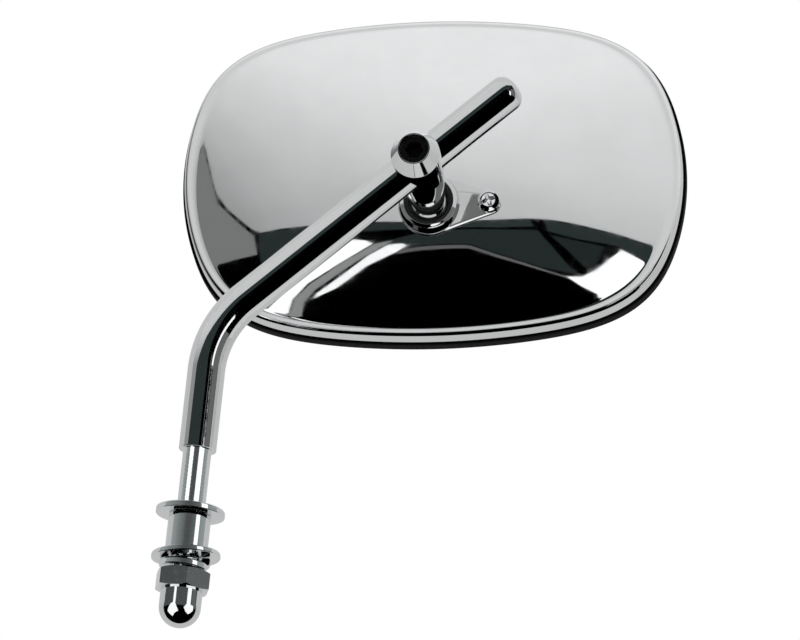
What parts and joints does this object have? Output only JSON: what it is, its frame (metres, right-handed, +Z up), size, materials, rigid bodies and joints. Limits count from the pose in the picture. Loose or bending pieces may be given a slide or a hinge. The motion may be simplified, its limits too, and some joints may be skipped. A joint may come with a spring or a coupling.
{
  "type": "motorcycle mirror",
  "caption": "Motorcycle mirror: a bent rod stem with a mounting stud, a post clamped on its arm and a ball-jointed rounded rectangular head with a domed back and convex glass.",
  "frame": {"origin": "centre of the stem's shoulder face on the stud's axis, where the stem bears on the control clamp", "axes": "+Z up the lower stem's axis, away from the stud; +X towards the side the arm leans to; +Y towards the mirror's glass, along the post"},
  "size_m": [0.1285, 0.0692, 0.1803],
  "materials": {
    "polished_chrome": "mirror-polished plating",
    "bright_zinc": "bright zinc plating",
    "black_steel": "black oxide, satin",
    "nylon": "moulded, black",
    "felt": "pressed felt",
    "mirror_glass": "silvered glass",
    "black_rubber": "moulded rubber, satin"
  },
  "bodies": {
    "stem": {"stem": "polished_chrome", "upper_washer": "polished_chrome", "spacer_sleeve": "polished_chrome", "lower_washer": "polished_chrome", "lock_washer": "bright_zinc", "acorn_nut": "polished_chrome"},
    "post": {"post": "polished_chrome", "set_screw": "black_steel"},
    "lower_seat": {"lower_ball_seat": "nylon"},
    "upper_seat": {"upper_ball_seat": "nylon"},
    "head": {"swivel_cover": "polished_chrome", "clamp_screw": "polished_chrome", "socket_cup": "bright_zinc", "clamp_plate": "bright_zinc", "clamp_lock_washer": "bright_zinc", "clamp_nut": "bright_zinc", "back_shell": "polished_chrome", "glass_pad": "felt", "mirror_glass": "mirror_glass", "rim_gasket": "black_rubber"}
  },
  "joints": [
    {"name": "post_slide", "type": "slide", "parent": "stem", "child": "post", "axis": [0.7096, 0, 0.7046], "range_m": [-0.045, 0.022]},
    {"name": "head_spin", "type": "hinge", "parent": "post", "child": "lower_seat", "pos_m": [0.04768, 0.0357, 0.07985], "axis": [0, 1, 0], "continuous": true},
    {"name": "head_pan", "type": "hinge", "parent": "lower_seat", "child": "upper_seat", "pos_m": [0.04768, 0.0357, 0.07985], "axis": [-0.1097, 0, 0.994], "range_deg": [-15, 15]},
    {"name": "head_tilt", "type": "hinge", "parent": "upper_seat", "child": "head", "pos_m": [0.04768, 0.0357, 0.07985], "axis": [0.994, 0, 0.1097], "range_deg": [-15, 15]}
  ]
}
